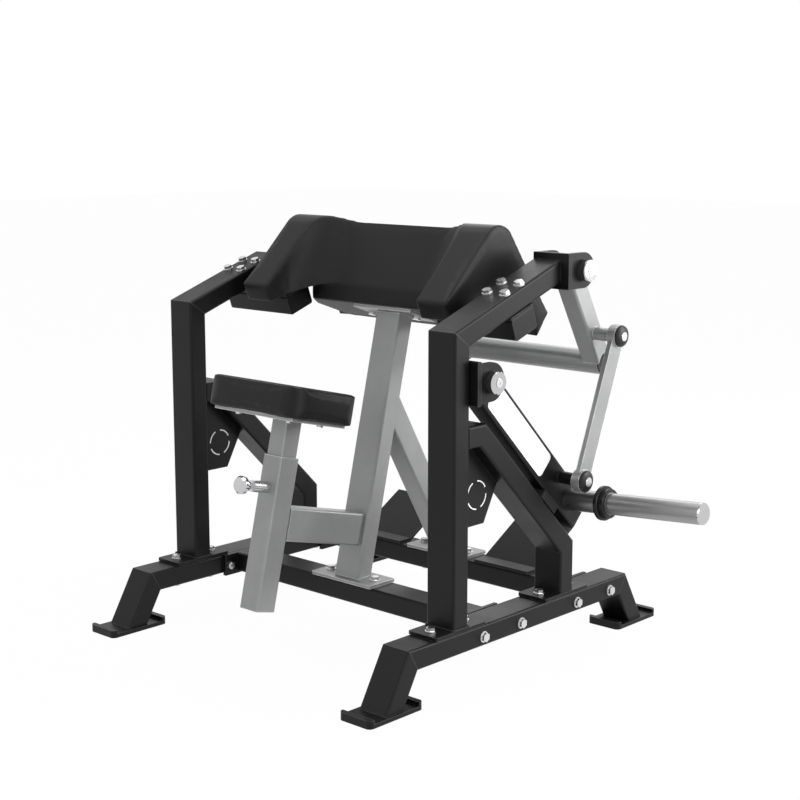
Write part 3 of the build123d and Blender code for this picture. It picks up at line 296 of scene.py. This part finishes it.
def make_edge_wear_and_highlight():
    """Edge mask for rubbed wear and a painted highlight on corners, broken up by noise."""
    effect = Effect("edge_wear_and_highlight", {"Reach": 0.0016, "Amount": 0.6}, ["Mask"])
    bevel = effect.tree.nodes.new("ShaderNodeBevel")
    bevel.samples = 4
    effect.tree.links.new(effect.given("Reach"), bevel.inputs["Radius"])
    face = effect.tree.nodes.new("ShaderNodeNewGeometry")
    likeness = effect.tree.nodes.new("ShaderNodeVectorMath")
    likeness.operation = "DOT_PRODUCT"
    effect.tree.links.new(bevel.outputs[0], likeness.inputs[0])
    effect.tree.links.new(face.outputs["Normal"], likeness.inputs[1])
    edge = effect.span(likeness.outputs["Value"], 0.995, 0.86, 0.0, 1.0)
    patch = effect.span(effect.noise(38.0, detail=5.0, roughness=0.65), 0.35, 0.6, 0.45, 1.0)
    worn_and_highlit = effect.math("MULTIPLY", edge, patch)
    effect.put(effect.math("MULTIPLY", worn_and_highlit, effect.given("Amount"), clamp=True), "Mask")
    return effect.tree


def make_leather_grain():
    """Upholstery vinyl: pebbled cells, pores and soft creasing."""
    effect = Effect(
        "leather_grain",
        {"Pebble Scale": 620.0, "Gloss Low": 0.4, "Gloss High": 0.52},
        SURFACE_OUTPUTS,
    )
    pebble = effect.cells(effect.given("Pebble Scale"))
    crease = effect.noise(150.0, detail=4.0, roughness=0.6, distortion=0.6)
    pore = effect.noise(1900.0, detail=2.0)
    height = effect.math("ADD", effect.math("MULTIPLY", pebble, -0.8), effect.math("MULTIPLY", crease, 0.5))
    effect.put(effect.math("ADD", height, effect.math("MULTIPLY", pore, 0.2)), "Height")
    cloud = effect.noise(7.0, detail=3.0)
    wear = effect.math("ADD", effect.math("MULTIPLY", cloud, 0.7), effect.math("MULTIPLY", crease, 0.3))
    gloss = effect.span(wear, 0.32, 0.68, effect.given("Gloss Low"), effect.given("Gloss High"))
    effect.put(gloss, "Roughness")
    effect.put(effect.span(wear, 0.3, 0.7, 0.0, 1.0), "Tone")
    return effect.tree


def make_brushing():
    """Turned or plated metal: fine scratches, smudges and dull spots."""
    effect = Effect(
        "metal_finish",
        {"Gloss Low": 0.08, "Gloss High": 0.2, "Scratch Scale": 60.0},
        SURFACE_OUTPUTS,
    )
    scratch_scale = effect.given("Scratch Scale")
    scratch = effect.noise(scratch_scale, detail=5.0, roughness=0.7, stretch=(1.0, 14.0, 14.0))
    smudge = effect.noise(16.0, detail=4.0, roughness=0.6, distortion=0.4)
    effect.put(scratch, "Height")
    both = effect.math("ADD", effect.math("MULTIPLY", scratch, 0.4), effect.math("MULTIPLY", smudge, 0.6))
    gloss = effect.span(both, 0.35, 0.65, effect.given("Gloss Low"), effect.given("Gloss High"))
    effect.put(gloss, "Roughness")
    effect.put(effect.span(both, 0.3, 0.7, 0.0, 1.0), "Tone")
    return effect.tree


def make_grain():
    """Moulded plastic, rubber or felt: even fine texture with a cloudy surface."""
    effect = Effect(
        "fine_grain",
        {"Grain Scale": 1100.0, "Gloss Low": 0.35, "Gloss High": 0.5},
        SURFACE_OUTPUTS,
    )
    grain = effect.noise(effect.given("Grain Scale"), detail=3.0, roughness=0.7)
    cloud = effect.noise(22.0, detail=3.0)
    effect.put(grain, "Height")
    both = effect.math("ADD", effect.math("MULTIPLY", grain, 0.5), effect.math("MULTIPLY", cloud, 0.5))
    gloss = effect.span(both, 0.35, 0.65, effect.given("Gloss Low"), effect.given("Gloss High"))
    effect.put(gloss, "Roughness")
    effect.put(effect.span(both, 0.3, 0.7, 0.0, 1.0), "Tone")
    return effect.tree


# ---------------------------------------------------------------- finishes
def make_finish(name, effect, settings, dark, light, bump, distance, metallic=0.0, shine=0.5, wear_and_highlight=None):
    """One material: an effect drives tone from dark to light, gloss and relief.

    The relief has a strength, bump, and a depth, distance. The last argument gives the edges a colour that is
    partly rubbed wear and partly a painted highlight, their reach from the edge and their amount.
    """
    material = bpy.data.materials.new(name)
    material.use_nodes = True
    tree = material.node_tree
    shader = tree.nodes["Principled BSDF"]
    shader.inputs["Metallic"].default_value = metallic
    shader.inputs["Specular IOR Level"].default_value = shine
    surface = tree.nodes.new("ShaderNodeGroup")
    surface.node_tree = effect
    for label, value in settings.items():
        surface.inputs[label].default_value = value
    tone = tree.nodes.new("ShaderNodeMix")
    tone.data_type = "RGBA"
    tone.inputs["A"].default_value = (*dark, 1)
    tone.inputs["B"].default_value = (*light, 1)
    tree.links.new(surface.outputs["Tone"], tone.inputs["Factor"])
    color = tone.outputs["Result"]
    # Edges lighten: partly rubbed wear, partly a painted highlight.
    if wear_and_highlight:
        worn_and_highlit, reach, amount = wear_and_highlight
        mask = tree.nodes.new("ShaderNodeGroup")
        mask.node_tree = EDGE_WEAR_AND_HIGHLIGHT
        mask.inputs["Reach"].default_value = reach
        mask.inputs["Amount"].default_value = amount
        wear_and_highlight_mix = tree.nodes.new("ShaderNodeMix")
        wear_and_highlight_mix.data_type = "RGBA"
        wear_and_highlight_mix.inputs["B"].default_value = (*worn_and_highlit, 1)
        tree.links.new(mask.outputs["Mask"], wear_and_highlight_mix.inputs["Factor"])
        tree.links.new(color, wear_and_highlight_mix.inputs["A"])
        color = wear_and_highlight_mix.outputs["Result"]
    tree.links.new(color, shader.inputs["Base Color"])
    tree.links.new(surface.outputs["Roughness"], shader.inputs["Roughness"])
    relief = tree.nodes.new("ShaderNodeBump")
    relief.inputs["Strength"].default_value = bump
    relief.inputs["Distance"].default_value = distance
    tree.links.new(surface.outputs["Height"], relief.inputs["Height"])
    tree.links.new(relief.outputs["Normal"], shader.inputs["Normal"])
    return material


POWDER = make_powder_coat()
EDGE_WEAR_AND_HIGHLIGHT = make_edge_wear_and_highlight()
LEATHER = make_leather_grain()
METAL = make_brushing()
GRAIN = make_grain()


def make_finishes():
    looks = {
        "black_powder": dict(
            effect=POWDER, settings={"Gloss Low": 0.34, "Gloss High": 0.46},
            dark=(0.0045, 0.0045, 0.0048), light=(0.0075, 0.0075, 0.008),
            # Lighter edges are partly rubbed wear, partly a painted highlight.
            bump=0.12, distance=0.0003, shine=0.2, wear_and_highlight=((0.10, 0.10, 0.105), 0.0028, 0.8),
        ),
        "silver_powder": dict(
            effect=POWDER, settings={"Peel Scale": 700.0, "Gloss Low": 0.34, "Gloss High": 0.44},
            dark=(0.262, 0.265, 0.265), light=(0.325, 0.328, 0.328),
            # Near-white edges at full amount are a painted highlight along the corners, partly rubbed wear.
            bump=0.12, distance=0.0003, metallic=0.45, wear_and_highlight=((0.92, 0.92, 0.93), 0.0034, 1.0),
        ),
        "zinc": dict(
            effect=METAL, settings={"Gloss Low": 0.2, "Gloss High": 0.34},
            dark=(0.56, 0.56, 0.57), light=(0.74, 0.74, 0.75), bump=0.1, distance=0.0002, metallic=1.0,
        ),
        "chrome": dict(
            effect=METAL, settings={"Gloss Low": 0.06, "Gloss High": 0.13},
            dark=(0.52, 0.52, 0.53), light=(0.60, 0.60, 0.61), bump=0.03, distance=0.0001, metallic=1.0,
        ),
        "satin_chrome": dict(
            effect=METAL, settings={"Gloss Low": 0.36, "Gloss High": 0.4, "Scratch Scale": 90.0},
            dark=(0.30, 0.30, 0.305), light=(0.34, 0.34, 0.345), bump=0.02, distance=0.0001, metallic=1.0,
        ),
        "black_plastic": dict(
            effect=GRAIN, settings={"Gloss Low": 0.3, "Gloss High": 0.42},
            dark=(0.006, 0.006, 0.0065), light=(0.010, 0.010, 0.011), bump=0.15, distance=0.0003, shine=0.3,
        ),
        "rubber": dict(
            effect=GRAIN, settings={"Grain Scale": 700.0, "Gloss Low": 0.6, "Gloss High": 0.75},
            dark=(0.009, 0.009, 0.009), light=(0.015, 0.015, 0.015), bump=0.3, distance=0.0005, shine=0.3,
        ),
        "board_grey": dict(
            effect=GRAIN, settings={"Grain Scale": 420.0, "Gloss Low": 0.7, "Gloss High": 0.85},
            dark=(0.10, 0.10, 0.105), light=(0.17, 0.17, 0.175), bump=0.5, distance=0.0008,
        ),
        "upholstery": dict(
            effect=LEATHER, settings={},
            dark=(0.005, 0.005, 0.0053), light=(0.008, 0.008, 0.0085), bump=0.22, distance=0.0006, shine=0.22,
        ),
        "white_label": dict(
            effect=GRAIN, settings={"Gloss Low": 0.22, "Gloss High": 0.3},
            dark=(0.84, 0.84, 0.85), light=(0.90, 0.90, 0.91), bump=0.03, distance=0.0001,
        ),
    }
    return {name: make_finish(name, **look) for name, look in looks.items()}


# ---------------------------------------------------------------- modelling helpers
def select_only(*pieces):
    bpy.ops.object.select_all(action="DESELECT")
    for piece in pieces:
        piece.select_set(True)
    bpy.context.view_layer.objects.active = pieces[-1]


def settle(piece):
    """Place and turn go into the mesh."""
    select_only(piece)
    bpy.ops.object.transform_apply(location=True, rotation=True, scale=True)


def smooth(piece, angle):
    select_only(piece)
    bpy.ops.object.shade_smooth_by_angle(angle=math.radians(angle))


def apply_modifier(piece, kind, **settings):
    modifier = piece.modifiers.new(kind.lower(), kind)
    for label, value in settings.items():
        setattr(modifier, label, value)
    select_only(piece)
    bpy.ops.object.modifier_apply(modifier=modifier.name)


def select_edges_at_right(piece):
    """In edit mode, select the edges that lie furthest along +X."""
    bpy.ops.mesh.select_mode(type="EDGE")
    bpy.ops.mesh.select_all(action="DESELECT")
    mesh = bmesh.from_edit_mesh(piece.data)
    reach = max(vertex.co.x for vertex in mesh.verts)
    for edge in mesh.edges:
        edge.select_set(all(abs(vertex.co.x - reach) < ON_LINE for vertex in edge.verts))
    bmesh.update_edit_mesh(piece.data)


def paint(piece, finish):
    """The finish becomes the piece's only material."""
    piece.data.materials.clear()
    piece.data.materials.append(FINISHES[finish])


def finish_piece(piece, body, slot, angle, replaced=()):
    """Paint, smooth and place a new piece. Edges sharper than the angle, in degrees, stay hard."""
    paint(piece, slot)
    smooth(piece, angle)
    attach(piece, body)
    if replaced:
        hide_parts(*replaced)


def merged_copy(node, name):
    """A free copy of a CAD node with its split corners joined again."""
    piece = NODES[node].copy()
    piece.data = NODES[node].data.copy()
    bpy.context.collection.objects.link(piece)
    piece.name = name
    piece.parent = None
    piece.matrix_world = NODES[node].matrix_world
    select_only(piece)
    bpy.ops.object.mode_set(mode="EDIT")
    bpy.ops.mesh.select_all(action="SELECT")
    bpy.ops.mesh.remove_doubles(threshold=MERGE_DISTANCE)
    bpy.ops.object.mode_set(mode="OBJECT")
    return piece


# ---------------------------------------------------------------- cushions
def swell(piece, most):
    """Air pressure fills the cover, and no point moves further than the foam allows."""
    start = [vertex.co.copy() for vertex in piece.data.vertices]
    cloth = piece.modifiers.new("cover", "CLOTH")
    cloth.settings.quality = COVER_QUALITY
    cloth.settings.mass = COVER_MASS
    cloth.settings.tension_stiffness = COVER_STRETCH
    cloth.settings.compression_stiffness = COVER_STRETCH
    cloth.settings.shear_stiffness = COVER_SHEAR
    cloth.settings.bending_stiffness = COVER_BENDING
    cloth.settings.use_pressure = True
    cloth.settings.uniform_pressure_force = CUSHION_PRESSURE
    cloth.settings.effector_weights.gravity = 0
    cloth.point_cache.frame_end = CUSHION_FRAMES
    for number in range(1, CUSHION_FRAMES + 1):
        bpy.context.scene.frame_set(number)
    select_only(piece)
    bpy.ops.object.modifier_apply(modifier=cloth.name)
    bpy.context.scene.frame_set(1)
    for vertex, before in zip(piece.data.vertices, start):
        step = vertex.co - before
        if step.length > most:
            vertex.co = before + step * (most / step.length)


def make_cushion(node, name, body, voxel, most):
    """A foam block under tight vinyl: the solid's faces keep their plan and its edges roll over."""
    piece = merged_copy(node, name)
    piece.data.remesh_voxel_size = voxel
    select_only(piece)
    bpy.ops.object.voxel_remesh()
    apply_modifier(piece, "SMOOTH", factor=SMOOTH_SHARE, iterations=EDGE_ROUNDING)
    apply_modifier(piece, "DISPLACE", strength=-CUSHION_INSET, mid_level=0.0)
    swell(piece, most)
    apply_modifier(piece, "SMOOTH", factor=SMOOTH_SHARE, iterations=COVER_SMOOTHING)
    apply_modifier(piece, "SUBSURF", levels=1, render_levels=1)
    paint(piece, "upholstery")
    select_only(piece)
    bpy.ops.object.shade_smooth()
    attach(piece, body)
    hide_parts(node)


def make_cushions():
    make_cushion("preacher_pad", "preacher_cushion", "frame", PAD_VOXEL, PAD_SWELL)
    make_cushion("seat_pad", "seat_cushion", "seat", SEAT_VOXEL, SEAT_SWELL)


# ---------------------------------------------------------------- hardware
def make_bead(start, end):
    """A round bead from one point to another, with a ripple along it."""
    run = end - start
    turn = run.to_track_quat("Z", "Y").to_matrix().to_4x4()
    ripples = max(2, round(run.length / BEAD_PITCH))
    bpy.ops.object.select_all(action="DESELECT")
    bpy.ops.mesh.primitive_cylinder_add(
        vertices=BEAD_SIDES, radius=BEAD_RADIUS, depth=run.length, end_fill_type="TRIFAN"
    )
    bead = bpy.context.object
    bpy.ops.object.mode_set(mode="EDIT")
    for step in range(1, 2 * ripples):
        height = -run.length / 2 + run.length * step / (2 * ripples)
        bpy.ops.mesh.select_all(action="SELECT")
        bpy.ops.mesh.bisect(plane_co=(0, 0, height), plane_no=(0, 0, 1))
    bpy.ops.object.mode_set(mode="OBJECT")
    for vertex in bead.data.vertices:
        wave = 1 + BEAD_RIPPLE * math.cos(math.tau * (vertex.co.z / run.length + 0.5) * ripples)
        vertex.co.x *= wave
        vertex.co.y *= wave
    bead.matrix_world = Matrix.Translation((start + end) / 2) @ turn
    settle(bead)
    return bead


def make_weld(name, corners):
    """Weld beads along the straight runs between corners, joined into one piece on the frame."""
    points = [Vector(corner) for corner in corners]
    select_only(*[make_bead(start, end) for start, end in zip(points, points[1:])])
    bpy.ops.object.join()
    piece = bpy.context.view_layer.objects.active
    piece.name = name
    finish_piece(piece, "frame", "black_powder", angle=60)


def box_ring(node, rise):
    """The corners of an upright tube's outline at a height over its foot, closed."""
    low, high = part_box(node)
    z = low[2] + rise
    return [
        (low[0], low[1], z), (high[0], low[1], z), (high[0], high[1], z), (low[0], high[1], z),
        (low[0], low[1], z),
    ]


def make_post_welds():
    """Beads round the feet of the two side posts, on their base plates."""
    for side in ("left", "right"):
        make_weld(f"post_weld_{side}", box_ring(f"post_{side}", BEAD_RISE))


def make_knob():
    """The pop pin's turned knob with its edges rolled over."""
    piece = merged_copy("pin_knob", "knob_head")
    least = math.radians(KNOB_BEVEL_ANGLE)
    apply_modifier(
        piece, "BEVEL", width=KNOB_BEVEL, segments=KNOB_BEVEL_STEPS, limit_method="ANGLE", angle_limit=least
    )
    finish_piece(piece, "pin", "chrome", angle=40, replaced=["pin_knob"])


def make_ring_arc(number):
    """One flat arc of the printed ring, drawn about Z."""
    bpy.ops.object.select_all(action="DESELECT")
    bpy.ops.mesh.primitive_plane_add(size=RING_LINE, location=(0, RING_RADIUS, 0))
    arc = bpy.context.object
    settle(arc)
    bpy.ops.object.mode_set(mode="EDIT")
    select_edges_at_right(arc)
    bpy.ops.mesh.spin(steps=ARC_STEPS, angle=math.radians(ARC_SWEEP), center=(0, 0, 0), axis=(0, 0, -1))
    bpy.ops.object.mode_set(mode="OBJECT")
    arc.rotation_euler = (0, 0, math.radians(360 / RING_ARCS * number + ARC_START))
    settle(arc)
    return arc


def make_gusset_rings():
    """Generic printed ring of arcs on each gusset's face towards +X."""
    low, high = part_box("gussets")
    middle_y = low[1] + GUSSET_RING_PLACE[0]
    middle_z = low[2] + GUSSET_RING_PLACE[1]
    upright = Matrix.Rotation(math.radians(90), 4, "Y")
    for side, x in (("left", low[0] + GUSSET_THICK), ("right", high[0])):
        select_only(*[make_ring_arc(number) for number in range(RING_ARCS)])
        bpy.ops.object.join()
        piece = bpy.context.view_layer.objects.active
        piece.name = f"gusset_ring_{side}"
        apply_modifier(piece, "SOLIDIFY", thickness=RING_FILM, offset=0.0)
        piece.matrix_world = Matrix.Translation((x + RING_FILM / 2, middle_y, middle_z)) @ upright
        settle(piece)
        finish_piece(piece, "frame", "white_label", angle=30)


# ---------------------------------------------------------------- run
make_camera()
make_world()
make_lamps()
make_floor()
bpy.context.scene.view_settings.view_transform = "Standard"

FINISHES = make_finishes()
SLOT_OF = {entry["node"]: entry["material_slot"] for entry in frame["record"]["subparts"]}
for name, node in NODES.items():
    paint(node, SLOT_OF[name])
paint(NODES["horn_tube"], "satin_chrome")

make_cushions()
make_post_welds()
make_knob()
make_gusset_rings()
